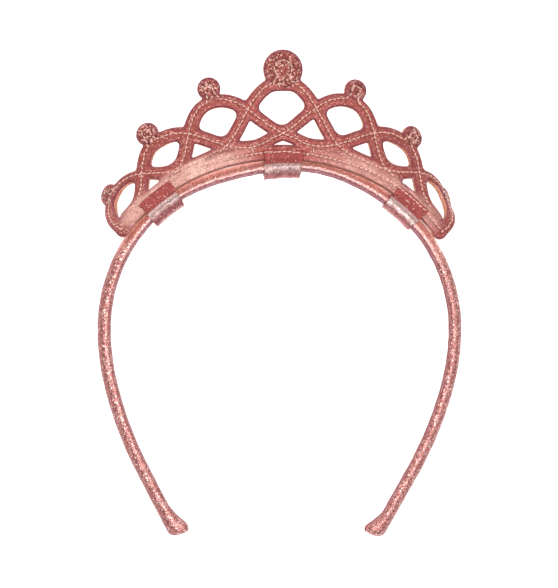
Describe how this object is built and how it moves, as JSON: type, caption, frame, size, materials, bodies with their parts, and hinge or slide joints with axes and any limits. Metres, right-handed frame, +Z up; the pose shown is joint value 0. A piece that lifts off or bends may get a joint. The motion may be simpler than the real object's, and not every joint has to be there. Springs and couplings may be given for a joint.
{
  "type": "child's tiara headband",
  "caption": "Narrow wrapped headband with a pierced, padded glitter crown panel of interlaced arches topped with round discs, held on by fabric loops.",
  "frame": {"origin": "on the floor, under the middle of the part's bounding box", "axes": "+Y towards the crown's middle disc, -Y towards the band's open tips, +Z up and out of the front face as it lies on a table, +X to the right seen from the front"},
  "size_m": [0.1286, 0.1698, 0.0192],
  "materials": {
    "band_wrap": "rose-gold glitter fabric wrapped round a stiff core, satin",
    "glitter_sheet": "padded rose-gold glitter leatherette, sparkling, cut edges orange-tan",
    "loop_fabric": "rose-gold glitter fabric, satin"
  },
  "bodies": {
    "root": {"band": "band_wrap", "panel": "glitter_sheet", "loop_left": "loop_fabric", "loop_centre": "loop_fabric", "loop_right": "loop_fabric"}
  },
  "joints": []
}
